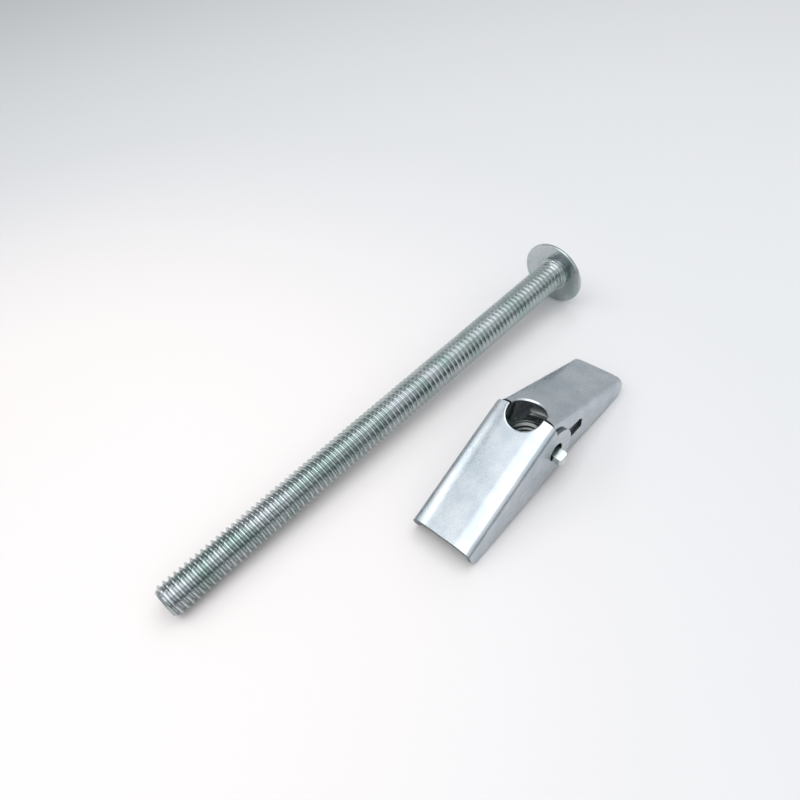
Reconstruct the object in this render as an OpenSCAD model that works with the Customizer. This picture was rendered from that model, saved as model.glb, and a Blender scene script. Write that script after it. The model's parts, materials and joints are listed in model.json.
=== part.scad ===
// Spring toggle bolt: a long machine screw with a truss head, and beside it the
// sprung wing anchor that it screws into. The anchor has two folded sheet wings,
// one nested in the other, hung on the flat tabs of a stamped and tapped nut.
// Both lie on a table at z = 0. The screw lies along X with its tip at -X.

/* [Screw] */
// Length under the head
screw_len = 150; // [60:1:200]
// Outside diameter of the thread
screw_d = 9.42; // [7.9:0.01:11.5]
// Depth by which the nut's thread grips the screw's
thread_grip = 0.74; // [0.4:0.01:0.9]
// How far the plain neck lies inside the thread's crests
neck_step = 0.41; // [0.1:0.01:1]
// Length of the plain neck
neck_len = 2.4; // [1:0.1:6]
// Radius of the fillet between neck and head
neck_fillet = 0.6; // [0.2:0.1:1]
// Depth of the bevel at the point
point_step = 1.11; // [0.5:0.01:2]
// Length of the bevel at the point
point_len = 1.5; // [0.5:0.1:4]

/* [Screw head] */
// Diameter of the truss head
head_d = 21; // [16:0.1:26]
// Height of the head from its bearing face
head_h = 4.9; // [3.5:0.1:8]
// Thickness of the head's rim
rim_h = 0.9; // [0.4:0.1:1.5]
// Width of the driver slot
slot_w = 2.3; // [1:0.1:3.5]
// Depth of the driver slot
slot_depth = 2.6; // [1:0.1:3.2]
// Span of the cross recess in the slot
cross_span = 8.4; // [4:0.1:11]
// Width of each arm of the cross recess
cross_w = 2.3; // [1:0.1:3]

/* [Wings] */
// Thickness of the steel sheet
sheet = 1.0; // [0.7:0.05:1.3]
// Side clearance between the nested wings
nest_gap = 0.1; // [0.05:0.05:0.5]
// Outside radius of the folds
fold_r = 2.0; // [1.5:0.1:3.5]
// Length of a wing from the pivot to its tip
wing_len = 35.4; // [26:0.5:50]
// Distance from the pivot to the outer face of the web, square to the web
web_reach = 9.1; // [8.6:0.1:12]
// Slope of the web against the lower edge of the flanges
web_slope = 16.4; // [8:0.1:17]
// Droop of the open wings below a straight line
open_droop = 4.4; // [1:0.1:12]
// Radius of the round ear about the pivot
ear_r = 7.0; // [5.5:0.1:8]
// Radius of the pivot hole in the ears
ear_hole_r = 2.6; // [2.2:0.05:3.2]
// Radius of the lower corner at the tip
tip_r = 3.2; // [1:0.1:4]
// Clearance between the web ends where they stop each other
stop_gap = 0.2; // [0.1:0.05:1]
// Clearance of the screw in the half-round notches that let it through
notch_room = 0.39; // [0.2:0.01:0.8]
// How far the notch's centre lies past the middle, along the anchor
notch_shift = 0.35; // [0.3:0.05:1]

/* [Window in the inner wing] */
// Distance from the pivot to the near end of the window
window_x = 6.4; // [6:0.1:9]
// Length of the window
window_len = 6.8; // [2:0.1:9]
// Height of the window at its near end
window_h = 3.8; // [1:0.1:4]
// Height of the window at its far end
window_end_h = 2.2; // [0.8:0.1:3]
// How far the window's lower edge rises towards its far end
window_rise = 0.6; // [0:0.1:1]
// Depth of the window's near end below the pivot
window_drop = 1.9; // [0:0.1:3]

/* [Nut] */
// Depth of the countersink at the mouth of the bore
mouth_depth = 0.93; // [0.3:0.01:1.4]
// Thickness of the nut's plate
plate_t = 2.3; // [1.6:0.1:3]
// How far the plate's round ends stand out of the collar
plate_step = 1.4; // [0.8:0.1:1.6]
// Wall of the drawn collar round the thread
collar_wall = 1.63; // [1.1:0.01:2]
// How far the plate's shoulders stand out of the collar
shoulder_step = 0.2; // [0.1:0.05:1]
// Length of the drawn collar below the plate
collar_len = 3.6; // [1.5:0.1:4.2]
// Width of the tabs that the wings turn on
tab_w = 3.2; // [2:0.1:3.6]
// How far a tab stands out of the outer wing
tab_proud = 2.6; // [1:0.1:5]
// Radius of the tab's end corners
tab_r = 0.8; // [0.2:0.1:1]
// Clearance between a tab and the bottom of its hole
tab_gap = 0.05; // [0.02:0.01:0.2]

/* [Spring] */
// Diameter of the spring wire
wire_d = 1.1; // [0.8:0.05:1.4]
// Clearance between the coils and the tabs
wire_gap = 0.08; // [0.05:0.01:0.2]
// Clearance between the cross wires and the webs
web_gap = 0.36; // [0.34:0.01:0.6]
// Side clearance of the coils between the nut and the inner wing
coil_room = 0.1; // [0.05:0.05:0.4]
// Width of the flattened hook under the inner wing
hook_w = 2.2; // [1.2:0.1:3]
// Thickness of the flattened hook
hook_t = 0.5; // [0.3:0.05:0.8]
// Reach of the hook past the middle
hook_reach = 3.0; // [0:0.1:5]
// How far the hook's end dips below its root
hook_dip = 2.4; // [0:0.1:3]

/* [Layout] */
// Distance of the anchor's middle from the screw's tip, along the screw
anchor_along = 92; // [20:0.1:150]
// Distance of the anchor's middle from the screw's axis
anchor_aside = 35.2; // [24:0.1:60]
// Turn of the anchor against the screw
anchor_turn = 3.1; // [0:0.1:20]

/* [Hidden] */
$fn = 96;
// Laps between joined shapes, and how far cutting shapes stand proud
eps = 0.01;
cut = 1;

// The screw lies on its point and on the rim of its head
screw_tilt = asin((head_d - screw_d) / 2 / screw_len);
thread_len = screw_len - neck_len;
point_r = screw_d / 2 - point_step;
neck_r = screw_d / 2 - neck_step;
dome_h = head_h - rim_h;
dome_r = (pow(head_d / 2, 2) + pow(dome_h, 2)) / (2 * dome_h);

// Widths: the nut is built up round the screw, and the wings round the nut
bore_r = screw_d / 2 - thread_grip;
collar_r = bore_r + collar_wall;
plate_r = collar_r + plate_step;
shoulder = collar_r + shoulder_step;
wire_r = wire_d / 2;
coil_y = shoulder + coil_room + wire_r;
inner_w = 2 * (coil_y + wire_r + coil_room + sheet);
outer_w = inner_w + 2 * (nest_gap + sheet);
notch_r = screw_d / 2 + notch_room;

// Wings: the pivot's height puts the tips of the open wings on the table
web_angle = web_slope + open_droop;
pivot_z = (wing_len - tip_r) * sin(open_droop) + (ear_r - tip_r) * cos(open_droop) + tip_r;
web_start = (stop_gap / 2 - (web_reach - sheet) * sin(web_angle)) / cos(web_angle);
web_tip_z = (web_reach - wing_len * sin(web_slope)) / cos(web_slope);
wing_reach = wing_len * cos(open_droop) - (ear_r - tip_r) * sin(open_droop);
blank_len = 2 * (wing_len + web_reach);
flange_depth = 2 * (web_reach + ear_r);

// Nut: the tabs hang at the bottom of the ear holes
tab_bottom = -sqrt(pow(ear_hole_r, 2) - pow(tab_w / 2, 2)) + tab_gap;
plate_top = tab_bottom + plate_t;
collar_bottom = tab_bottom - collar_len;
tab_reach = outer_w / 2 + tab_proud;

// Spring: two open coils round the tabs, and cross wires at the notches' edges.
// Its straight stretches run a little way into the bends, and are a hair
// thinner, so that each joint between them is a plain circle
wire_lap = 0.2;
straight_r = wire_r - 0.02;
cross_x = notch_shift + notch_r + wire_r;
tab_corner = norm([tab_w / 2, tab_bottom]);
coil_r = tab_corner + wire_r + wire_gap;
leg_z = (web_reach - sheet - wire_r - web_gap - cross_x * sin(web_angle)) / cos(web_angle);
leg_dist = norm([cross_x, leg_z]);
coil_start = atan2(leg_z, cross_x) - acos(coil_r / leg_dist);

// Layout: the whole rests centred on the origin. The recess takes away the crown
// of the head, so its highest point is at a corner of the cross
box_low_x = -point_r * sin(screw_tilt);
crown_off = norm([slot_w / 2, cross_w / 2 - dome_r * sin(screw_tilt)]);
crown_h = sqrt(pow(dome_r, 2) - pow(crown_off, 2));
box_high_x = (screw_len + head_h - dome_r) * cos(screw_tilt) + crown_h;
screw_x = -(box_low_x + box_high_x) / 2;
tab_edge = tab_reach * cos(anchor_turn) + (tab_w / 2 - tab_r) * sin(anchor_turn);
wing_edge = wing_reach * sin(anchor_turn) + outer_w / 2 * cos(anchor_turn);
screw_y = (anchor_aside + max(tab_edge, wing_edge) - head_d / 2) / 2;
anchor_x = screw_x + anchor_along;
anchor_y = screw_y - anchor_aside;

// Puts a shape drawn along +X from its tip on the table as the screw lies
module lay_screw() {
    translate([screw_x, screw_y, screw_d / 2 * cos(screw_tilt)])
        rotate([0, -screw_tilt, 0])
            children();
}

// Puts a shape drawn about the pivot in the anchor's place
module lay_anchor() {
    translate([anchor_x, anchor_y, pivot_z])
        rotate([0, 0, anchor_turn])
            children();
}

// Half section of the screw: across is the radius, up is the distance from the tip
module screw_section() {
    polygon([
        [0, 0], [point_r, 0], [screw_d / 2, point_len],
        [screw_d / 2, thread_len - neck_step], [neck_r, thread_len],
        [neck_r, screw_len + eps], [0, screw_len + eps]
    ]);
    difference() {
        translate([0, screw_len - neck_fillet])
            square([neck_r + neck_fillet, neck_fillet + eps]);
        translate([neck_r + neck_fillet, screw_len - neck_fillet])
            circle(neck_fillet);
    }
    translate([0, screw_len])
        square([head_d / 2, rim_h]);
    intersection() {
        translate([0, screw_len + head_h - dome_r])
            circle(dome_r);
        translate([0, screw_len + rim_h - eps])
            square([head_d / 2, dome_h + cut]);
    }
}

// Slot right across the head, with a cross recess in the middle
module drive_recess() {
    floor_x = screw_len + head_h - slot_depth;
    translate([floor_x, -slot_w / 2, -head_d])
        cube([head_h, slot_w, 2 * head_d]);
    translate([floor_x, -cross_span / 2, -cross_w / 2])
        cube([head_h, cross_span, cross_w]);
}

module machine_screw() {
    color("#b9c2c4")
    lay_screw()
    difference() {
        rotate([0, 90, 0])
            rotate_extrude()
                screw_section();
        drive_recess();
    }
}

// Section of a folded channel: across is the width, the web's outer face is at 0
module channel_outline(width, round_r, depth) {
    translate([-width / 2, -depth])
        square([width, depth - round_r]);
    translate([-width / 2 + round_r, -depth])
        square([width - 2 * round_r, depth]);
    for (side = [-1, 1])
        translate([side * (width / 2 - round_r), -round_r])
            circle(round_r);
}

// Channel of bent sheet along X, with the web's outer face on top at z = 0
module channel(width) {
    translate([-blank_len / 2, 0, 0])
        rotate([90, 0, 90])
            linear_extrude(blank_len)
                difference() {
                    channel_outline(width, fold_r, flange_depth);
                    translate([0, -sheet])
                        channel_outline(width - 2 * sheet, fold_r - sheet, flange_depth);
                }
}

// Point given in the web's own frame, turned into the wing's frame
function from_web(along, out) = [
    along * cos(web_slope) + out * sin(web_slope),
    out * cos(web_slope) - along * sin(web_slope)
];

// Side view of a wing about its pivot: a round ear, a straight lower edge,
// a round lower corner at the tip, and room above for the sloping web, which
// is cut off square at its hinge end; below it the folds stay clear of the
// other wing's
module wing_side() {
    circle(ear_r);
    polygon([
        [0, -ear_r], [wing_len - tip_r, -ear_r], [wing_len - tip_r, tip_r - ear_r],
        [wing_len, tip_r - ear_r], [wing_len, web_tip_z + cut],
        from_web(web_start, web_reach + cut), from_web(web_start, web_reach - sheet), [0, 0]
    ]);
    translate([wing_len - tip_r, tip_r - ear_r])
        circle(tip_r);
}

// Half-round notch, punched square to the web at its hinge end
module notch() {
    along = (notch_shift - (web_reach - sheet / 2) * sin(web_angle)) / cos(web_angle);
    rotate([0, web_slope, 0])
        translate([along, 0, web_reach - sheet - cut]) {
            cylinder(r = notch_r, h = sheet + 2 * cut);
            translate([-notch_r, -notch_r, 0])
                cube([notch_r, 2 * notch_r, sheet + 2 * cut]);
        }
}

// One wing about its pivot, with its tip towards +X and its lower edge level
module wing(width) {
    difference() {
        intersection() {
            rotate([0, web_slope, 0])
                translate([0, 0, web_reach])
                    channel(width);
            translate([0, width, 0])
                rotate([90, 0, 0])
                    linear_extrude(2 * width)
                        wing_side();
        }
        notch();
        translate([0, width, 0])
            rotate([90, 0, 0])
                cylinder(r = ear_hole_r, h = 2 * width);
    }
}

// Tapered window through the right flange of the inner wing
module window() {
    translate([window_x, 0, -window_drop])
        rotate([90, 0, 0])
            linear_extrude(inner_w)
                polygon([
                    [0, 0], [window_len - window_rise, window_rise],
                    [window_len, window_rise + window_end_h], [0, window_h]
                ]);
}

module outer_wing() {
    color("#c9d0d6")
    lay_anchor()
        mirror([1, 0, 0])
            rotate([0, open_droop, 0])
                wing(outer_w);
}

module inner_wing() {
    color("#a9b1b8")
    lay_anchor()
        rotate([0, open_droop, 0])
            difference() {
                wing(inner_w);
                window();
            }
}

// Outline of both tabs seen from above, with rounded corners at their ends
module tab_plan() {
    for (turn = [0, 180])
        rotate([0, 0, turn]) {
            translate([-tab_w / 2, 0])
                square([tab_w, tab_reach - tab_r]);
            translate([tab_r - tab_w / 2, 0])
                square([tab_w - 2 * tab_r, tab_reach]);
            for (side = [-1, 1])
                translate([side * (tab_w / 2 - tab_r), tab_reach - tab_r])
                    circle(tab_r);
        }
}

module tab_nut() {
    color("#aab3b5")
    lay_anchor()
    difference() {
        union() {
            translate([0, 0, tab_bottom])
                linear_extrude(plate_t) {
                    intersection() {
                        circle(plate_r);
                        square([2 * plate_r, 2 * shoulder], center = true);
                    }
                    tab_plan();
                }
            translate([0, 0, collar_bottom])
                cylinder(r = collar_r, h = collar_len + eps);
        }
        translate([0, 0, collar_bottom - cut])
            cylinder(r = bore_r, h = plate_top - collar_bottom + 2 * cut);
        translate([0, 0, plate_top - mouth_depth])
            cylinder(r1 = bore_r, r2 = bore_r + mouth_depth + eps, h = mouth_depth + eps);
    }
}

// Straight wire between two points
module wire(from, to) {
    span = to - from;
    translate(from)
        rotate([0, acos(span[2] / norm(span)), atan2(span[1], span[0])])
            cylinder(r = straight_r, h = norm(span));
}

// Open coil under a tab, from one leg's tangent point round to the other's
module coil(y) {
    translate([0, y, 0])
        rotate([90, 0, 0])
            rotate([0, 0, 180 - coil_start])
                rotate_extrude(angle = 180 + 2 * coil_start)
                    translate([coil_r, 0])
                        circle(wire_r);
}

// Wire's end pressed flat, from its bend under the inner web down past the middle
module hook() {
    run = [hook_reach + coil_y, hook_dip];
    translate([cross_x - wire_r, -coil_y, leg_z])
        rotate([-atan2(run[1], run[0]), 0, 0])
            rotate([0, web_angle, 0])
                translate([0, 0, -hook_t / 2])
                    cube([hook_w, norm(run), hook_t]);
}

// Leg from the coil up to the underside of a web; side is 1 at the inner wing
module leg(side, y) {
    top = [side * cross_x, y, leg_z];
    tangent = [side * coil_r * cos(coil_start), y, coil_r * sin(coil_start)];
    wire(tangent + wire_lap * (tangent - top) / norm(tangent - top), top);
}

module wing_spring() {
    color("#8f989b")
    lay_anchor() {
        for (y = [-coil_y, coil_y]) {
            coil(y);
            for (side = [-1, 1])
                leg(side, y);
        }
        wire([-cross_x, -coil_y, leg_z], [-cross_x, coil_y, leg_z]);
        hook();
        for (bend = [[-cross_x, -coil_y], [-cross_x, coil_y], [cross_x, -coil_y]])
            translate([bend[0], bend[1], leg_z])
                sphere(wire_r);
    }
}

machine_screw();
tab_nut();
outer_wing();
inner_wing();
wing_spring();
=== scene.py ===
import json
from math import asin, atan2, cos, degrees, pi, radians, sin, tan

import bmesh
import bpy
from mathutils import Matrix, Vector

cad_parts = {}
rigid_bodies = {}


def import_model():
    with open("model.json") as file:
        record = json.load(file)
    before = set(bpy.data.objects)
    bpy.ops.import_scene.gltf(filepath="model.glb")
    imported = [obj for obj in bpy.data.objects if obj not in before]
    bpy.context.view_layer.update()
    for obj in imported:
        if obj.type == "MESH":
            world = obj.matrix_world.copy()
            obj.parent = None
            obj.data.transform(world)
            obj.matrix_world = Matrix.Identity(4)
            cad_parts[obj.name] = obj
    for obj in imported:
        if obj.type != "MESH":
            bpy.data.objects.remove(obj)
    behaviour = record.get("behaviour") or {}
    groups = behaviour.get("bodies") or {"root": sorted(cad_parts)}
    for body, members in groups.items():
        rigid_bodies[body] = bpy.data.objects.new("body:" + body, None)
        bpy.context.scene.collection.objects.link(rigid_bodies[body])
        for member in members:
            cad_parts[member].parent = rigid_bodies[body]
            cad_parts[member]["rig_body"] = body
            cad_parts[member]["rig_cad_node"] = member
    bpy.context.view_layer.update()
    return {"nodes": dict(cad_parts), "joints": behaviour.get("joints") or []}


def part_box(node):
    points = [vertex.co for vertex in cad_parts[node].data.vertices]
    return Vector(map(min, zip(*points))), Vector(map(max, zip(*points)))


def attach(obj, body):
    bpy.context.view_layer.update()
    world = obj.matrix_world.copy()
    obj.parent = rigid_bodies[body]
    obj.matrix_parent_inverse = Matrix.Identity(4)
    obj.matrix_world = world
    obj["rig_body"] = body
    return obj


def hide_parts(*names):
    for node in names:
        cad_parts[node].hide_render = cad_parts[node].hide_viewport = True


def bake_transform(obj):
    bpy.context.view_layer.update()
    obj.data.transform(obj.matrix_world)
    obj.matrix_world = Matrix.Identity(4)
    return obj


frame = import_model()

# A spring toggle bolt: the screw and its sprung anchor, both zinc plated
# Sizes below are in millimetres, the file works in metres
millimetre = 0.001
scene = bpy.context.scene
scene.view_settings.view_transform = "Standard"


def mm(*values):
    return Vector(values) * millimetre if len(values) > 1 else values[0] * millimetre


# Modelling helpers

def pickOnly(piece):
    if bpy.context.object and bpy.context.object.mode != "OBJECT":
        bpy.ops.object.mode_set(mode="OBJECT")
    bpy.ops.object.select_all(action="DESELECT")
    piece.select_set(True)
    bpy.context.view_layer.objects.active = piece


def editAll(piece):
    pickOnly(piece)
    bpy.ops.object.mode_set(mode="EDIT")
    bpy.ops.mesh.select_all(action="SELECT")


def doneEditing():
    bpy.ops.object.mode_set(mode="OBJECT")


def nameActive(name):
    piece = bpy.context.object
    piece.name = name
    piece.data.name = name
    return piece


def applyModifier(piece, kind, **settings):
    pickOnly(piece)
    bpy.ops.object.modifier_add(type=kind)
    modifier = piece.modifiers[-1]
    for key, value in settings.items():
        setattr(modifier, key, value)
    bpy.ops.object.modifier_apply(modifier=modifier.name)


def combine(piece, tool, how):
    # Joins, cuts or trims one closed solid with another, which is used up
    applyModifier(piece, "BOOLEAN", operation=how, solver="MANIFOLD", object=tool)
    bpy.data.objects.remove(tool)


def traceProfile(name, points):
    # A small plane shrunk to its middle point, then extruded from point to point
    bpy.ops.object.select_all(action="DESELECT")
    bpy.ops.mesh.primitive_plane_add(size=mm(1), location=(0, 0, 0))
    piece = nameActive(name)
    editAll(piece)
    bpy.ops.mesh.merge(type="CENTER")
    bpy.ops.transform.translate(value=Vector(points[0]) * millimetre)
    for before, after in zip(points, points[1:]):
        step = (Vector(after) - Vector(before)) * millimetre
        bpy.ops.mesh.extrude_region_move(TRANSFORM_OT_translate={"value": step})
    doneEditing()
    return piece


def tidyShell(piece, gap=0.002):
    # Merges doubles first, so that the normals agree, and turns a closed shell that is inside out
    editAll(piece)
    bpy.ops.mesh.remove_doubles(threshold=mm(gap))
    bpy.ops.mesh.normals_make_consistent(inside=False)
    if bmesh.from_edit_mesh(piece.data).calc_volume(signed=True) < 0:
        bpy.ops.mesh.flip_normals()
    doneEditing()


def resizeFace(piece, way, centre, factors):
    # Resizes the one face of a tool that looks the given way
    editAll(piece)
    bpy.ops.mesh.select_all(action="DESELECT")
    shell = bmesh.from_edit_mesh(piece.data)
    for face in shell.faces:
        if face.normal.dot(Vector((way[0], 0, way[1]))) > 0.99:
            face.select_set(True)
    shell.select_flush_mode()
    bmesh.update_edit_mesh(piece.data)
    bpy.ops.transform.resize(value=factors, center_override=mm(centre[0], 0, centre[1]))
    doneEditing()


def turnedSolid(name, section, steps):
    # Section points are (distance along X, radius), from axis to axis
    piece = traceProfile(name, [(x, 0, r) for x, r in section])
    editAll(piece)
    bpy.ops.mesh.spin(steps=steps, angle=2 * pi, center=(0, 0, 0), axis=(1, 0, 0))
    doneEditing()
    tidyShell(piece)
    return piece


def threadedRod(name, thread, start, end):
    # One pitch of the rolled profile, swept up the helix and cut square at both ends
    pitch, crest, root = thread["pitch"], thread["crestRadius"], thread["rootRadius"]
    flank = (crest - root - thread["crestRound"] - thread["rootRound"]) * tan(radians(30))
    rootHalf = (pitch - 2 * flank - thread["crestLand"]) / 2
    rise = [
        (0, root), (rootHalf * 0.62, root + thread["rootRound"] * 0.3),
        (rootHalf, root + thread["rootRound"]),
        (rootHalf + flank, crest - thread["crestRound"]),
        (rootHalf + flank + thread["crestLand"] * 0.22, crest - thread["crestRound"] * 0.22),
        (pitch / 2, crest),
    ]
    profile = rise + [(pitch - x, r) for x, r in reversed(rise[:-1])]
    turns = int((end - start) / pitch) + 3
    first = start - 1.5 * pitch
    rod = traceProfile(name, [(first + x, 0, r) for x, r in profile])
    applyModifier(rod, "SCREW", axis="X", screw_offset=mm(pitch), iterations=turns,
                  steps=thread["steps"], render_steps=thread["steps"])
    tidyShell(rod)
    for place, outward in ((start, -1), (end, 1)):
        editAll(rod)
        bpy.ops.mesh.bisect(plane_co=mm(place, 0, 0), plane_no=(outward, 0, 0), clear_outer=True)
        doneEditing()
    editAll(rod)
    bpy.ops.mesh.fill_holes(sides=0)
    doneEditing()
    tidyShell(rod)
    return rod


def settle(piece, place):
    # Moves a finished piece to where it lies, and leaves the object at the origin
    piece.matrix_world = place
    pickOnly(piece)
    bpy.ops.object.transform_apply(location=True, rotation=True, scale=True)


def smoothFaces(piece, angle):
    pickOnly(piece)
    bpy.ops.object.shade_smooth_by_angle(angle=radians(angle))


def evenNormals(piece, fan=50):
    # Each corner leans on the largest faces round it, so flat faces stay flat up to their soft edges
    mesh = piece.data
    around = [[] for _ in mesh.vertices]
    for face in mesh.polygons:
        for vertex in face.vertices:
            around[vertex].append(face)
    closest = cos(radians(fan))
    normals = []
    for face in mesh.polygons:
        for vertex in face.vertices:
            near = (other for other in around[vertex] if other.normal.dot(face.normal) > closest)
            normals.append(sum((other.normal * other.area ** 1.5 for other in near), Vector()).normalized())
    mesh.polygons.foreach_set("use_smooth", [True] * len(mesh.polygons))
    mesh.normals_split_custom_set(normals)


# Material helpers

def hexColour(code):
    parts = [int(code[i:i + 2], 16) / 255 for i in (1, 3, 5)]
    linear = [c / 12.92 if c <= 0.04045 else ((c + 0.055) / 1.055) ** 2.4 for c in parts]
    return (*linear, 1.0)


def addNode(tree, kind, settings=None, links=None):
    # settings sets the node's own fields or its inputs, links maps an input to an output
    node = tree.nodes.new(kind)
    for key, value in (settings or {}).items():
        if isinstance(key, int) or key in node.inputs:
            node.inputs[key].default_value = value
        else:
            setattr(node, key, value)
    for key, source in (links or {}).items():
        tree.links.new(source, node.inputs[key])
    return node


def zincPlate(name, look):
    # Bright zinc with a clear blue passivate: a mirror softened by the steel under it,
    # faintly streaked along the way the steel was rolled or drawn
    material = bpy.data.materials.new(name)
    material.use_nodes = True
    tree = material.node_tree
    tree.nodes.clear()
    place = addNode(tree, "ShaderNodeTexCoord")
    along = addNode(tree, "ShaderNodeMapping",
                    {"Rotation": (0, 0, radians(look["grainTurn"])), "Scale": look["grainStretch"]},
                    {"Vector": place.outputs["Object"]})
    # Real streaks are some 0.05 mm apart, drawn coarser so that they show
    streaks = addNode(tree, "ShaderNodeTexNoise",
                      {"Scale": 1 / mm(look["grainWidth"]), "Detail": 3.0, "Roughness": 0.6},
                      {"Vector": along.outputs["Vector"]})
    clouds = addNode(tree, "ShaderNodeTexNoise",
                     {"Scale": 1 / mm(look["cloudSize"]), "Detail": 2.0, "Roughness": 0.5},
                     {"Vector": place.outputs["Object"]})
    tint = addNode(tree, "ShaderNodeValToRGB", {}, {"Fac": clouds.outputs["Fac"]})
    tint.color_ramp.elements[0].position = 0.36
    tint.color_ramp.elements[0].color = hexColour(look["coolTint"])
    tint.color_ramp.elements[1].position = 0.64
    tint.color_ramp.elements[1].color = hexColour(look["warmTint"])
    streakTone = addNode(tree, "ShaderNodeMapRange",
                         {"From Min": 0.3, "From Max": 0.7, "To Min": look["streakDark"], "To Max": 1.0},
                         {"Value": streaks.outputs["Fac"]})
    colour = addNode(tree, "ShaderNodeMix", {"data_type": "RGBA", "blend_type": "MULTIPLY", "Factor": 1.0})
    tree.links.new(tint.outputs["Color"], colour.inputs[6])
    tree.links.new(streakTone.outputs["Result"], colour.inputs[7])
    rough = addNode(tree, "ShaderNodeMapRange",
                    {"From Min": 0.25, "From Max": 0.75, "To Min": look["roughness"][0],
                     "To Max": look["roughness"][1]},
                    {"Value": streaks.outputs["Fac"]})
    grit = addNode(tree, "ShaderNodeTexNoise",
                   {"Scale": 1 / mm(look["gritSize"]), "Detail": 2.0, "Roughness": 0.6},
                   {"Vector": place.outputs["Object"]})
    height = addNode(tree, "ShaderNodeMath", {"operation": "ADD"},
                     {0: streaks.outputs["Fac"], 1: grit.outputs["Fac"]})
    bump = addNode(tree, "ShaderNodeBump",
                   {"Strength": look["bumpStrength"], "Distance": mm(look["bumpHeight"])},
                   {"Height": height.outputs["Value"]})
    shader = addNode(tree, "ShaderNodeBsdfPrincipled", {"Metallic": 1.0},
                     {"Base Color": colour.outputs[2], "Roughness": rough.outputs["Result"],
                      "Normal": bump.outputs["Normal"]})
    if "axis" in look:
        # Painted shade: the roots of a thread, nearer its axis, are painted darker, and so is the inside of a
        # tapped bore
        turned = addNode(tree, "ShaderNodeMapping",
                         {"vector_type": "TEXTURE", "Location": look["axis"].translation,
                          "Rotation": look["axis"].to_euler()}, {"Vector": place.outputs["Object"]})
        flat = addNode(tree, "ShaderNodeVectorMath", {"operation": "MULTIPLY", 1: (0, 1, 1)},
                       {0: turned.outputs["Vector"]})
        distance = addNode(tree, "ShaderNodeVectorMath", {"operation": "LENGTH"}, {0: flat.outputs["Vector"]})
        root = addNode(tree, "ShaderNodeMapRange",
                       {"From Min": mm(look["rootShadeReach"][0]), "From Max": mm(look["rootShadeReach"][1]),
                        "To Min": look["rootShade"], "To Max": 1.0}, {"Value": distance.outputs["Value"]})
        deep = addNode(tree, "ShaderNodeMix", {"data_type": "RGBA", "blend_type": "MULTIPLY", "Factor": 1.0})
        tree.links.new(colour.outputs[2], deep.inputs[6])
        tree.links.new(root.outputs["Result"], deep.inputs[7])
        tree.links.new(deep.outputs[2], shader.inputs["Base Color"])
    if "headSatin" in look:
        # The cold-formed head is more satin than the rolled thread
        satin = addNode(tree, "ShaderNodeMapRange",
                        {"From Min": mm(look["headReach"][0]), "From Max": mm(look["headReach"][1]),
                         "To Min": 0.0, "To Max": look["headSatin"]}, {"Value": distance.outputs["Value"]})
        total = addNode(tree, "ShaderNodeMath", {"operation": "ADD"},
                        {0: rough.outputs["Result"], 1: satin.outputs["Result"]})
        tree.links.new(total.outputs["Value"], shader.inputs["Roughness"])
    if "edgeShadeHookLight" in look:
        # Shearing tears the steel and leaves its edges rougher; painted shade darkens their colour, and
        # painted light brightens the pressed hook
        edgeShadeHookLightMask = addNode(tree, "ShaderNodeAttribute", {"attribute_name": "edgeShadeHookLightFaces"})
        edgeShadeHookLightMix = addNode(tree, "ShaderNodeMix", {"data_type": "RGBA"}, {"Factor": edgeShadeHookLightMask.outputs["Fac"]})
        tree.links.new(colour.outputs[2], edgeShadeHookLightMix.inputs[6])
        edgeShadeHookLightMix.inputs[7].default_value = hexColour(look["edgeShadeHookLight"])
        tree.links.new(edgeShadeHookLightMix.outputs[2], shader.inputs["Base Color"])
        duller = addNode(tree, "ShaderNodeMath", {"operation": "MULTIPLY_ADD", 1: look["workedRough"]},
                         {0: edgeShadeHookLightMask.outputs["Fac"], 2: rough.outputs["Result"]})
        tree.links.new(duller.outputs["Value"], shader.inputs["Roughness"])
    addNode(tree, "ShaderNodeOutputMaterial", {}, {"Surface": shader.outputs["BSDF"]})
    return material


def dress(piece, material):
    piece.data.materials.clear()
    piece.data.materials.append(material)


# Where things lie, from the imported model

screwSize = {
    "length": 150.0,          # under the head
    "headDiameter": 21.0,
    "headHeight": 4.9,
    "rimHeight": 0.9,
    "rimRound": 0.28,         # rounding of the rim's edges
    "neckRadius": 4.30,
    "neckLength": 1.9,
    "neckFillet": 1.3,
    "neckRings": 3,           # faint rings left by the heading die on the fillet
    "ringDepth": 0.13,
    "pointStep": 1.11,        # bevel at the point, across and along
    "pointLength": 1.5,
    "runout": 2.2,            # length over which the thread's roots rise to the neck
    "neckMarks": 0.16,        # depth of the last shallow turns rolled into the neck
    "slotWidth": 2.3,
    "slotDepth": 2.6,
    "crossSpan": 8.4,
    "crossWidth": 2.3,
    "recessDraft": 0.35,      # how much narrower the recess is at its floor
    "headSteps": 96,
}
rolledThread = {
    "pitch": 1.5875,          # 3/8-16
    "crestRadius": 4.71,
    "rootRadius": 3.82,
    "crestLand": 0.44,
    "crestRound": 0.14,
    "rootRound": 0.10,
    "steps": 60,
}
screwTilt = asin((screwSize["headDiameter"] / 2 - rolledThread["crestRadius"]) / screwSize["length"])
screwLow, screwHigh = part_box("machine_screw")
tipRadius = mm(rolledThread["crestRadius"] - screwSize["pointStep"])
screwPlace = (
    Matrix.Translation((screwLow.x + tipRadius * sin(screwTilt), (screwLow.y + screwHigh.y) / 2,
                        mm(rolledThread["crestRadius"]) * cos(screwTilt)))
    @ Matrix.Rotation(-screwTilt, 4, "Y")
)
hinge = next(j for j in frame["joints"] if j["name"] == "outer_wing_fold")
pivot = Vector(hinge["pos_m"])
hingeAxis = Vector(hinge["axis"]).normalized()
borePlace = Matrix.Translation(pivot) @ Matrix.Rotation(-pi / 2, 4, "Y")
print("frame loaded, pivot", [round(v, 5) for v in pivot], "axis", [round(v, 4) for v in hingeAxis])


# Screw

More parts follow.
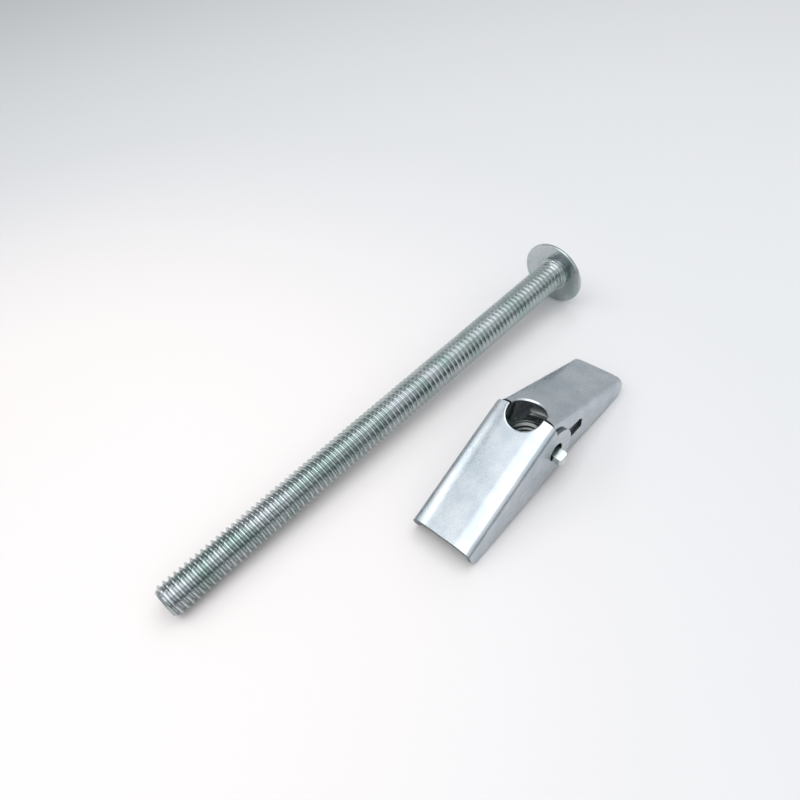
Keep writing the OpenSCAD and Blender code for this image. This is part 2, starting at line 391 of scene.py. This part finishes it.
def headSection(size):
    # The stem starts inside the thread, and its roots rise to the neck
    end, radius = size["length"], size["headDiameter"] / 2
    fillet, neck, rim, edge = size["neckFillet"], size["neckRadius"], size["rimHeight"], size["rimRound"]
    points = [(end - size["neckLength"] - size["runout"] - 1.0, 0),
              (end - size["neckLength"] - size["runout"], rolledThread["rootRadius"] - 0.1),
              (end - size["neckLength"], neck - size["neckMarks"]),
              (end - fillet - 0.3, neck - size["neckMarks"] * 0.6),
              (end - fillet - 0.1, neck)]
    ringSteps = 8
    steps = ringSteps * size["neckRings"]
    for i in range(steps + 1):
        turn = radians(90 * i / steps)
        reach = fillet + size["ringDepth"] * (0.5 - 0.5 * cos(2 * pi * i / ringSteps))
        points.append((end - fillet + reach * sin(turn), neck + fillet - reach * cos(turn)))
    for i in range(5):
        turn = radians(90 * i / 4)
        points.append((end + edge * (1 - cos(turn)), radius - edge * (1 - sin(turn))))
    # The dome starts where it meets the rounded rim and flattens towards the crown
    dome = size["headHeight"] - rim
    sphere = (radius ** 2 + dome ** 2) / (2 * dome)
    centre = end + size["headHeight"] - sphere
    widest = asin(radius / sphere)
    points.append((end + rim - edge * 0.6, radius))
    points.append((end + rim, radius - edge * 0.12))
    for i in range(1, 15):
        turn = widest * (1 - i / 14) * 0.985
        points.append((centre + sphere * cos(turn), sphere * sin(turn)))
    points[-1] = (end + size["headHeight"], 0)
    return points


def recessTool(size):
    # Slot right across and a short cross arm, both a little narrower at the floor
    crown = size["length"] + size["headHeight"]
    top, floor = crown + 1, crown - size["slotDepth"]
    draft = size["recessDraft"] * (top - floor) / size["slotDepth"]
    slot, cross = (size["slotWidth"], 3 * size["headDiameter"]), (size["crossSpan"], size["crossWidth"])
    tools = []
    for across, along in (slot, cross):
        bpy.ops.object.select_all(action="DESELECT")
        bpy.ops.mesh.primitive_cube_add(size=1, location=mm((top + floor) / 2, 0, 0),
                                        scale=mm(top - floor, across, along))
        tool = nameActive("recessCutter")
        bpy.ops.object.transform_apply(location=True, rotation=False, scale=True)
        resizeFace(tool, (-1, 0), (floor, 0), (1, 1 - draft / across, 1 - draft / along))
        tools.append(tool)
    combine(tools[0], tools[1], "UNION")
    return tools[0]


def makeScrew(size, thread, material):
    length, neck = size["length"], size["length"] - size["neckLength"]
    rodEnd = length - size["neckFillet"] - 0.2
    rod = threadedRod("machineScrew", thread, 0.0, rodEnd + 0.05)
    crest = thread["crestRadius"] + 0.02
    envelope = turnedSolid("threadEnvelope", [
        (0, 0), (0, thread["crestRadius"] - size["pointStep"]), (size["pointLength"], crest),
        (neck - 0.5, crest), (neck, size["neckRadius"]),
        (rodEnd, size["neckRadius"] - 0.02), (rodEnd, 0),
    ], size["headSteps"])
    combine(rod, envelope, "INTERSECT")
    head = turnedSolid("screwHead", headSection(size), size["headSteps"])
    combine(head, recessTool(size), "DIFFERENCE")
    combine(rod, head, "UNION")
    settle(rod, screwPlace)
    smoothFaces(rod, 32)
    dress(rod, material)
    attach(rod, "nut_and_screw")
    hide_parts("machine_screw")
    return rod


# Anchor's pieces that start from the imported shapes

def copyNode(node, name):
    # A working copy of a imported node, merged and freed of its triangles
    pickOnly(frame["nodes"][node])
    bpy.ops.object.duplicate()
    piece = nameActive(name)
    bpy.ops.object.parent_clear(type="CLEAR_KEEP_TRANSFORM")
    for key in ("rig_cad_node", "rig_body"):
        del piece[key]
    editAll(piece)
    bpy.ops.mesh.remove_doubles(threshold=mm(0.001))
    bpy.ops.mesh.dissolve_limited(angle_limit=radians(0.4))
    doneEditing()
    return piece


def softenEdges(piece, width, sharper, segments=2):
    applyModifier(piece, "BEVEL", width=mm(width), segments=segments, limit_method="ANGLE",
                  angle_limit=radians(sharper), use_clamp_overlap=True)


def anchorPlace():
    # X along the anchor, Y along the hinge axis, origin at the pivot
    across = hingeAxis if hingeAxis.y > 0 else -hingeAxis
    up = Vector((0, 0, 1))
    along = across.cross(up)
    frameTurn = Matrix((along, across, up)).transposed().to_4x4()
    return Matrix.Translation(pivot) @ frameTurn


wingSize = {
    "sheet": 1.0,
    "length": 35.4,           # from the pivot to the tip
    "webReach": 9.1,          # from the pivot to the web's outer face
    "slope": 16.4,            # of the web against the lower edge
    "droop": 4.4,             # of the open wing
    "lowerEdge": 7.0,         # below the pivot
    "earRadius": 6.7,         # of the rounding, which is centred a little below the pivot
    "holeRadius": 2.6,
    "tipRadius": 3.2,
    "foldRadius": 2.2,
    "foldSteps": 12,
    "stopGap": 0.2,
    "notchRadius": 5.1,
    "notchShift": 0.35,       # how far the screw's way lies past the middle
    "arcSteps": 28,
    "edgeRound": 0.17,        # sheared sheet edges, broken by tumbling
    "sharperThan": 38,
}
outerShape = {
    "width": 18.4,
    "crown": 0.42,            # how far the middle of the web stands over its folds
    "crownWidth": 3.6,        # width of the curved strip beside each fold
    "crownSteps": 8,
    "endGap": 0.0,
    "rollOver": (0.45, 0.16), # how wide and deep the punch drew the notch's rim down
    "window": [],
}
innerShape = {
    "width": 16.2,
    "crown": 0.15,
    "crownWidth": 2.4,
    "crownSteps": 4,
    "endGap": 0.6,            # dark line between the two webs' ends
    "rollOver": (0.4, 0.36),
    "window": [(6.0, -2.8), (13.9, -2.3), (13.8, 0.4), (12.5, 1.35), (6.0, 1.6)],
}


def arcPoints(centre, radius, first, last, steps):
    turns = [radians(first + (last - first) * i / steps) for i in range(steps + 1)]
    return [(centre[0] + radius * cos(turn), centre[1] + radius * sin(turn)) for turn in turns]


def prism(name, outline, way):
    # Closed outline, filled and drawn out into a solid
    piece = traceProfile(name, outline + outline[:1])
    editAll(piece)
    bpy.ops.mesh.remove_doubles(threshold=mm(0.002))
    bpy.ops.mesh.edge_face_add()
    bpy.ops.mesh.extrude_region_move(TRANSFORM_OT_translate={"value": Vector(way) * millimetre})
    bpy.ops.mesh.select_all(action="SELECT")
    bpy.ops.mesh.normals_make_consistent(inside=False)
    doneEditing()
    return piece


def sheetOutline(size, shape):
    # Cross-section of the folded sheet: (across, out of the web), from one flange to the other
    half, curved = shape["width"] / 2, shape["crownWidth"]
    lean = atan2(2 * shape["crown"], curved)
    flat = half - size["foldRadius"] * (1 - sin(lean))
    right = []                # (across, out, how far the sheet has turned down)
    for i in range(shape["crownSteps"] + 1):
        share = i / shape["crownSteps"]
        right.append((flat - curved * (1 - share), -shape["crown"] * share ** 2,
                      atan2(2 * shape["crown"] * share, curved)))
    for i in range(1, size["foldSteps"] + 1):
        turn = lean + (pi / 2 - lean) * i / size["foldSteps"]
        right.append((flat + size["foldRadius"] * (sin(turn) - sin(lean)),
                      -shape["crown"] - size["foldRadius"] * (cos(lean) - cos(turn)), turn))
    right.append((half, -2 * (size["webReach"] + size["lowerEdge"]), pi / 2))
    outer = [(-y, z) for y, z, turn in reversed(right)] + [(y, z) for y, z, turn in right]
    inside = [(y - size["sheet"] * sin(turn), z - size["sheet"] * cos(turn)) for y, z, turn in right]
    return outer + list(reversed(inside)) + [(-y, z) for y, z in inside]


def sideOutline(size, shape):
    # The wing seen from the side, about the pivot: round ear, straight lower edge, round tip corner
    slope, length, ear, tip = radians(size["slope"]), size["length"], size["earRadius"], size["tipRadius"]
    low = size["lowerEdge"]
    droop, whole = radians(size["droop"]), radians(size["slope"] + size["droop"])
    inner = size["webReach"] - size["sheet"]
    start = (size["stopGap"] / 2 - inner * sin(whole)) / cos(whole) + shape["endGap"]
    end = (start * cos(slope) + inner * sin(slope), inner * cos(slope) - start * sin(slope))
    rise = size["sheet"] + 1
    tipTop = (size["webReach"] - length * sin(slope)) / cos(slope) + 1
    earStart = degrees(atan2(end[1], end[0]))
    return ([end] + arcPoints((0, ear - low), ear, earStart, 270, size["arcSteps"])
            + arcPoints((length - tip, tip - low), tip, -90, 0, 8)
            + [(length, tipTop), (end[0] - rise * sin(droop) + 0.001, end[1] + rise * cos(droop))])


def markShadedCutEdges(wing, size, along, out):
    # Marks for painted shade the cut edges, which cross the length of the folded sheet, or lie square to its
    # flanges below the web
    under = mm(size["webReach"] - size["sheet"] - 0.3)
    cut = []
    for face in wing.data.polygons:
        across = abs(face.normal.dot(along)) > 0.25 and abs(face.normal.dot(out)) < 0.5
        lower = abs(face.normal.y) < 0.02 and face.center.dot(out) < under
        cut.append(1.0 if across or lower else 0.0)
    wing.data.attributes.new("edgeShadeHookLightFaces", "FLOAT", "FACE").data.foreach_set("value", cut)


def makeWing(name, node, body, side, size, shape, material):
    # Folded channel, trimmed to its side view, then punched
    droop, whole = radians(size["droop"]), radians(size["slope"] + size["droop"])
    span = 2 * (size["length"] + size["webReach"])

    def fromWeb(along, out):
        return side * (along * cos(whole) + out * sin(whole)), out * cos(whole) - along * sin(whole)

    def fromWing(x, z):
        return side * (x * cos(droop) + z * sin(droop)), z * cos(droop) - x * sin(droop)

    def acrossCut(outline):
        flat = [fromWing(x, z) for x, z in outline]
        return prism("wingTool", [(x, -shape["width"], z) for x, z in flat], (0, 2 * shape["width"], 0))

    section = []
    for y, z in sheetOutline(size, shape):
        x, up = fromWeb(-span / 2, size["webReach"] + z)
        section.append((x, y, up))
    x, up = fromWeb(span, 0)
    wing = prism(name, section, (x, 0, up))
    combine(wing, acrossCut(sideOutline(size, shape)), "INTERSECT")
    combine(wing, acrossCut(arcPoints((0, 0), size["holeRadius"], 0, 360, 48)[:-1]), "DIFFERENCE")
    place = (size["notchShift"] - (size["webReach"] - size["sheet"] / 2) * sin(whole)) / cos(whole)
    punched = arcPoints((place, 0), size["notchRadius"], -90, 90, 2 * size["arcSteps"])
    punched += [(place - 2 * size["notchRadius"], size["notchRadius"]),
                (place - 2 * size["notchRadius"], -size["notchRadius"])]
    wide, deep = shape["rollOver"]
    for low, high, flare in ((-size["sheet"] - 1.2, 1.2, 0), (-deep, 0.5, wide * (1 + 0.5 / deep))):
        outline = []
        for along, y in punched:
            x, up = fromWeb(along, size["webReach"] + low)
            outline.append((x, y, up))
        x, up = fromWeb(0, high - low)
        tool = prism("wingTool", outline, (x, 0, up))
        if flare:
            wider = 1 + flare / size["notchRadius"]
            resizeFace(tool, fromWeb(0, 1), fromWeb(place, size["webReach"] + high), (wider, wider, wider))
        combine(wing, tool, "DIFFERENCE")
    if shape["window"]:
        flat = [fromWing(x, z) for x, z in shape["window"]]
        combine(wing, prism("wingTool", [(x, -shape["width"], z) for x, z in flat], (0, shape["width"], 0)),
                "DIFFERENCE")
    editAll(wing)
    bpy.ops.mesh.remove_doubles(threshold=mm(0.005))
    bpy.ops.mesh.dissolve_limited(angle_limit=radians(0.3))
    doneEditing()
    (x, up), (outX, outUp) = fromWeb(1, 0), fromWeb(0, 1)
    markShadedCutEdges(wing, size, Vector((x, 0, up)), Vector((outX, 0, outUp)))
    softenEdges(wing, size["edgeRound"], size["sharperThan"], 3)
    settle(wing, anchorPlace())
    evenNormals(wing)
    dress(wing, material)
    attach(wing, body)
    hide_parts(node)
    return wing


nutSize = {
    "edgeRound": 0.16,
    "boreRadius": 3.97,
    "plateTop": 0.3,          # above the pivot
    "drawRound": 1.1,         # where the plate flows down into the collar
    "tabFrom": 8.7,           # the part of each tab outside its ear
    "tabEnd": 10.9,
    "tabBend": 0.5,           # how far its end is bent down
    "tabSpread": 1.07,        # and spread by the bending
    "threadLoose": 0.06,      # how far the tap is over the screw's size
    "tapBelow": 9.0,
    "tapAbove": 3.0,
}


def makeNut(size, thread, material):
    nut = copyNode("tab_nut", "tabNut")
    settle(nut, anchorPlace().inverted())
    for way in (-1, 1):
        editAll(nut)
        bpy.ops.mesh.bisect(plane_co=mm(0, way * size["tabFrom"], 0), plane_no=(0, way, 0))
        bpy.ops.mesh.select_all(action="DESELECT")
        shell = bmesh.from_edit_mesh(nut.data)
        for vertex in shell.verts:
            vertex.select = vertex.co.y * way > mm(size["tabEnd"])
        shell.select_flush_mode()
        bmesh.update_edit_mesh(nut.data)
        bpy.ops.transform.resize(value=(size["tabSpread"], 1, 1), center_override=(0, 0, 0))
        bpy.ops.transform.translate(value=mm(0, 0, -size["tabBend"]))
        doneEditing()
    settle(nut, anchorPlace())
    softenEdges(nut, size["edgeRound"], 50, 3)
    draw, top, bore = size["drawRound"], size["plateTop"], size["boreRadius"]
    flow = []
    for i in range(11):
        turn = radians(90 * i / 10)
        flow.append((top - draw * (1 - sin(turn)), bore + draw * (1 - cos(turn))))
    mouth = turnedSolid("drawnMouth", [(top - draw, 0)] + flow + [(top + 1, bore + draw), (top + 1, 0)], 96)
    settle(mouth, borePlace)
    combine(nut, mouth, "DIFFERENCE")
    wider = dict(thread)
    wider["crestRadius"] += size["threadLoose"]
    tap = threadedRod("nutTap", wider, -size["tapBelow"], size["tapAbove"])
    settle(tap, borePlace)
    combine(nut, tap, "DIFFERENCE")
    evenNormals(nut)
    dress(nut, material)
    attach(nut, "nut_and_screw")
    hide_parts("tab_nut")
    return nut


# Spring, bent from round wire as on a forming machine

springSize = {
    "wireDiameter": 1.1,
    "coilRadius": 3.19,
    "coilPlace": 6.45,        # distance of each coil from the middle
    "coilStart": -24.69,      # where a leg leaves its coil
    "legReach": 6.0,          # place of the cross wires, along and up
    "legRise": 5.412,
    "bendRadius": 0.75,
    "ringPoints": 16,
    "hookWidth": 2.6,
    "hookThick": 0.5,
    "hookInward": 1.25,       # from the cross wire's middle towards the screw's way
    "hookReach": 2.3,
    "hookDip": 1.5,
    "hookTwist": 6,           # how the pressed end leans, as the web above it does
}


def startWire(name, spot, direction, size):
    # A ring of the wire's size, square to the way that the wire sets off
    bpy.ops.object.select_all(action="DESELECT")
    bpy.ops.mesh.primitive_circle_add(
        vertices=size["ringPoints"], radius=mm(size["wireDiameter"] / 2), fill_type="NGON",
        location=Vector(spot) * millimetre, rotation=Vector(direction).to_track_quat("Z", "Y").to_euler())
    piece = nameActive(name)
    bpy.ops.object.transform_apply(location=True, rotation=True, scale=True)
    editAll(piece)
    bpy.ops.mesh.extrude_region_move(TRANSFORM_OT_translate={"value": (0, 0, 0)})
    return piece


def runWire(step, parts=1):
    for _ in range(parts):
        bpy.ops.mesh.extrude_region_move(
            TRANSFORM_OT_translate={"value": Vector(step) * millimetre / parts})


def bendWire(centre, axis, angle, steps):
    # Spin turns left-handed about its axis, so the angle is negated
    bpy.ops.mesh.spin(steps=steps, angle=-radians(angle), center=Vector(centre) * millimetre, axis=axis)


def flatHook(size):
    # The wire's end pressed flat, from its bend under the inner web down past the middle
    width, thick, rest = size["hookWidth"], size["hookThick"], size["coilPlace"]
    run = Vector((0, size["hookReach"] + rest, -size["hookDip"]))
    bpy.ops.object.select_all(action="DESELECT")
    bpy.ops.mesh.primitive_cube_add(size=1, location=mm(width / 2, run.length / 2, 0),
                                    scale=mm(width, run.length, thick))
    hook = nameActive("springHook")
    bpy.ops.object.transform_apply(location=True, rotation=True, scale=True)
    applyModifier(hook, "BEVEL", width=mm(thick * 0.32), segments=3, limit_method="ANGLE",
                  angle_limit=radians(40))
    settle(hook, Matrix.Translation(mm(size["legReach"] - size["hookInward"], -rest, size["legRise"]))
           @ Matrix.Rotation(-atan2(size["hookDip"], size["hookReach"] + rest), 4, "X")
           @ Matrix.Rotation(radians(size["hookTwist"]), 4, "Y"))
    # The whole pressed hook is marked for painted light, a lighter tint
    hookLightFaces = [1.0] * len(hook.data.polygons)
    hook.data.attributes.new("edgeShadeHookLightFaces", "FLOAT", "FACE").data.foreach_set("value", hookLightFaces)
    return hook


def makeSpringHalf(name, side, size, material):
    # Each half starts at the bottom of the coils
    reach, rise, rest = size["legReach"], size["legRise"], size["coilPlace"]
    coil, turn = size["coilRadius"], 90 + size["coilStart"]
    start = radians(size["coilStart"])
    leaving = Vector((coil * cos(start) * side, 0, coil * sin(start)))
    top = Vector((reach * side, 0, rise))
    leg = (top - leaving).normalized()
    elbow = size["bendRadius"]
    upTo = top - leg * elbow

    def coilAndLeg(y):
        # From the bottom of the coil round to its leg, and up the leg
        bendWire((0, y, 0), (0, -side, 0), turn, 10)
        runWire((upTo - leaving), 6)

    wire = startWire(name, (0, -rest, -coil), (side, 0, 0), size)
    coilAndLeg(-rest)
    across = Vector((0, 1, 0))
    bendWire(Vector((upTo.x, -rest + elbow, upTo.z)), leg.cross(across), 90, 6)
    if side < 0:
        runWire((0, 2 * (rest - elbow), 0), 6)
        bendWire(Vector((upTo.x, rest - elbow, upTo.z)), across.cross(-leg), 90, 6)
        runWire(leaving - upTo, 6)
        bendWire((0, rest, 0), (0, side, 0), turn, 10)
    doneEditing()
    parts = [wire]
    if side > 0:
        parts += [flatHook(size), startWire("springFreeLeg", (0, rest, -coil), (side, 0, 0), size)]
        coilAndLeg(rest)
        runWire(leg * elbow)
        doneEditing()
    pickOnly(wire)
    for part in parts:
        part.select_set(True)
    if len(parts) > 1:
        bpy.ops.object.join()
    tidyShell(wire)
    settle(wire, anchorPlace())
    smoothFaces(wire, 40)
    dress(wire, material)
    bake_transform(wire)
    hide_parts("wing_spring")
    return wire


print("materials")
rolledSheetLook = {
    "coolTint": "#B3BCC3", "warmTint": "#C2C8CD", "roughness": (0.25, 0.31),
    "grainTurn": -3.1, "grainStretch": (0.06, 1.0, 1.0), "grainWidth": 0.5, "cloudSize": 6.0,
    "streakDark": 0.985, "gritSize": 0.35, "bumpStrength": 0.05, "bumpHeight": 0.002,
    # painted shade on the sheared edges, which are also rougher
    "edgeShadeHookLight": "#6E787A", "workedRough": 0.18,
}
rolledThreadLook = {
    "coolTint": "#AEBDBA", "warmTint": "#C5CBCE", "roughness": (0.13, 0.22),
    "grainTurn": 0, "grainStretch": (1.0, 0.3, 0.3), "grainWidth": 0.4, "cloudSize": 7.0,
    "streakDark": 0.84, "gritSize": 0.35, "bumpStrength": 0.4, "bumpHeight": 0.004,
    # painted shade in the roots of the thread
    "axis": screwPlace, "rootShadeReach": (3.85, 4.45), "rootShade": 0.78,
    "headReach": (4.8, 5.6), "headSatin": 0.05,
}
stampedNutLook = {
    "coolTint": "#C6D0CE", "warmTint": "#D6DBD8", "roughness": (0.2, 0.3),
    "grainTurn": 0, "grainStretch": (1.0, 1.0, 0.3), "grainWidth": 0.4, "cloudSize": 4.0,
    "streakDark": 0.9, "gritSize": 0.4, "bumpStrength": 0.2, "bumpHeight": 0.003,
    # painted shade down the nut's bore and its thread
    "axis": borePlace, "rootShadeReach": (4.7, 5.4), "rootShade": 0.24,
}
drawnWireLook = {
    "coolTint": "#8E9896", "warmTint": "#A0A7A4", "roughness": (0.5, 0.62),
    "grainTurn": 0, "grainStretch": (1.0, 0.2, 1.0), "grainWidth": 0.3, "cloudSize": 3.0,
    "streakDark": 0.85, "gritSize": 0.25, "bumpStrength": 0.3, "bumpHeight": 0.005,
    # painted light on the pressed hook
    "edgeShadeHookLight": "#E2E6E3", "workedRough": 0.05,
}
rolledSheet = zincPlate("zincPlatedRolledSheet", rolledSheetLook)
threadFinish = zincPlate("zincPlatedRolledThread", rolledThreadLook)
nutFinish = zincPlate("zincPlatedStampedNut", stampedNutLook)
wireFinish = zincPlate("zincPlatedDrawnWire", drawnWireLook)

screw = makeScrew(screwSize, rolledThread, threadFinish)
print("screw", len(screw.data.polygons), "faces")
outerWing = makeWing("outerWing", "outer_wing", "outer_wing", -1, wingSize, outerShape, rolledSheet)
innerWing = makeWing("innerWing", "inner_wing", "inner_wing", 1, wingSize, innerShape, rolledSheet)
print("wings", len(outerWing.data.polygons), len(innerWing.data.polygons), "faces")
nut = makeNut(nutSize, rolledThread, nutFinish)
print("nut", len(nut.data.polygons), "faces")
for side, body, name in ((-1, "outer_wing", "springOuterHalf"), (1, "inner_wing", "springInnerHalf")):
    half = makeSpringHalf(name, side, springSize, wireFinish)
    print(name, len(half.data.polygons), "faces")

# Table, light and camera

studio = {
    "tableColour": "#EEE9E8",
    "tableShadedTone": "#DADBDD",       # painted shade: the board's tone away from its painted pool of light
    "tableLightMiddle": (-120, 90, 0),
    "tableFade": (70, 260),
    "tableSize": 4000,
    "horizonTone": "#DADDDF",     # the room low down, halfway up and overhead
    "middleTone": "#BCBDBE",
    "ceilingTone": "#BFC3C7",
    "middleHeight": 0.62,         # heights of these tones, as the sine of their elevation
    "ceilingHeight": 0.92,
    "dimLevel": 0.35,             # how dim the room is low down on the near side
    "dimNear": (-0.8, -0.45),     # where that fades out, towards the back and upwards
    "dimLow": (0.06, 0.34),
}
lamps = {
    # place, what it points at, size, brightness of its face
    "softbox": {"place": (-10, -44, 600), "aim": (-10, -44, 0), "turn": 7, "size": (980, 520), "level": 1.75},
    "reflector": {"place": (-10, -470, 470), "aim": (0, 0, 0), "turn": 0, "size": (900, 400), "level": 0.6},
    "window": {"place": (-232, 350, 480), "aim": (0, 0, 0), "turn": 0, "size": (420, 115), "level": 3.0},
}


def makeTable(size):
    bpy.ops.object.select_all(action="DESELECT")
    bpy.ops.mesh.primitive_plane_add(size=mm(size["tableSize"]), location=mm(0, 0, -0.02))
    table = nameActive("table")
    # A matt white board, a little greyer away from its middle, a painted pool of light
    material = bpy.data.materials.new("paintedBoard")
    material.use_nodes = True
    tree = material.node_tree
    tree.nodes.clear()
    place = addNode(tree, "ShaderNodeTexCoord")
    reach = addNode(tree, "ShaderNodeVectorMath", {"operation": "DISTANCE", 1: mm(*size["tableLightMiddle"])},
                    {0: place.outputs["Object"]})
    fade = addNode(tree, "ShaderNodeMapRange",
                   {"interpolation_type": "SMOOTHSTEP", "From Min": mm(size["tableFade"][0]),
                    "From Max": mm(size["tableFade"][1])}, {"Value": reach.outputs["Value"]})
    tone = addNode(tree, "ShaderNodeMix", {"data_type": "RGBA"}, {"Factor": fade.outputs["Result"]})
    tone.inputs[6].default_value = hexColour(size["tableColour"])
    tone.inputs[7].default_value = hexColour(size["tableShadedTone"])
    shader = addNode(tree, "ShaderNodeBsdfPrincipled", {"Roughness": 0.8}, {"Base Color": tone.outputs[2]})
    addNode(tree, "ShaderNodeOutputMaterial", {}, {"Surface": shader.outputs["BSDF"]})
    dress(table, material)


def makeLamp(name, size):
    bpy.ops.object.select_all(action="DESELECT")
    bpy.ops.object.light_add(type="AREA", location=mm(*size["place"]))
    lamp = bpy.context.object
    lamp.name = name
    ray = Vector(size["aim"]) - Vector(size["place"])
    lamp.rotation_euler = (ray.to_track_quat("-Z", "Y").to_matrix()
                           @ Matrix.Rotation(radians(size["turn"]), 3, "Z")).to_euler()
    lamp.data.shape = "RECTANGLE"
    wide, high = (mm(v) for v in size["size"])
    lamp.data.size, lamp.data.size_y = wide, high
    lamp.data.energy = size["level"] * pi * wide * high


def makeRoom(size):
    world = bpy.data.worlds.new("room")
    scene.world = world
    world.use_nodes = True
    tree = world.node_tree
    tree.nodes.clear()
    look = addNode(tree, "ShaderNodeTexCoord")
    parts = addNode(tree, "ShaderNodeSeparateXYZ", {}, {0: look.outputs["Generated"]})
    ramp = addNode(tree, "ShaderNodeValToRGB", {}, {"Fac": parts.outputs["Z"]})
    ramp.color_ramp.elements[0].position = 0.0
    ramp.color_ramp.elements[0].color = hexColour(size["horizonTone"])
    ramp.color_ramp.elements[1].position = size["ceilingHeight"]
    ramp.color_ramp.elements[1].color = hexColour(size["ceilingTone"])
    ramp.color_ramp.elements.new(size["middleHeight"]).color = hexColour(size["middleTone"])
    near, low = [
        addNode(tree, "ShaderNodeMapRange",
                {"From Min": fade[0], "From Max": fade[1], "To Min": 1.0, "To Max": 0.0},
                {"Value": parts.outputs[axis]})
        for fade, axis in ((size["dimNear"], "Y"), (size["dimLow"], "Z"))
    ]
    both = addNode(tree, "ShaderNodeMath", {"operation": "MULTIPLY"},
                   {0: near.outputs["Result"], 1: low.outputs["Result"]})
    dim = addNode(tree, "ShaderNodeMapRange", {"To Min": 1.0, "To Max": size["dimLevel"]},
                  {"Value": both.outputs["Value"]})
    back = addNode(tree, "ShaderNodeBackground", {},
                   {"Color": ramp.outputs["Color"], "Strength": dim.outputs["Result"]})
    addNode(tree, "ShaderNodeOutputWorld", {}, {"Surface": back.outputs["Background"]})


cameraSize = {
    "aim": (7.6, 25.15, 0.0),     # point on the table in the middle of the view
    "distance": 195.9,
    "heading": 53.83,             # degrees from +X
    "downward": 46.84,
    "roll": -10.86,
    "lens": 29.06,
}


def makeCamera(size):
    heading, down = radians(size["heading"]), radians(size["downward"])
    forward = Vector((cos(heading) * cos(down), sin(heading) * cos(down), -sin(down)))
    data = bpy.data.cameras.new("camera")
    camera = bpy.data.objects.new("camera", data)
    scene.collection.objects.link(camera)
    data.lens = size["lens"]
    data.clip_start = mm(5)
    turn = forward.to_track_quat("-Z", "Y").to_matrix().to_4x4()
    camera.matrix_world = (Matrix.Translation(mm(*size["aim"]) - forward * mm(size["distance"]))
                           @ turn @ Matrix.Rotation(radians(size["roll"]), 4, "Z"))
    scene.camera = camera


makeTable(studio)
makeRoom(studio)
for name, lamp in lamps.items():
    makeLamp(name, lamp)
makeCamera(cameraSize)
print("stage ready")
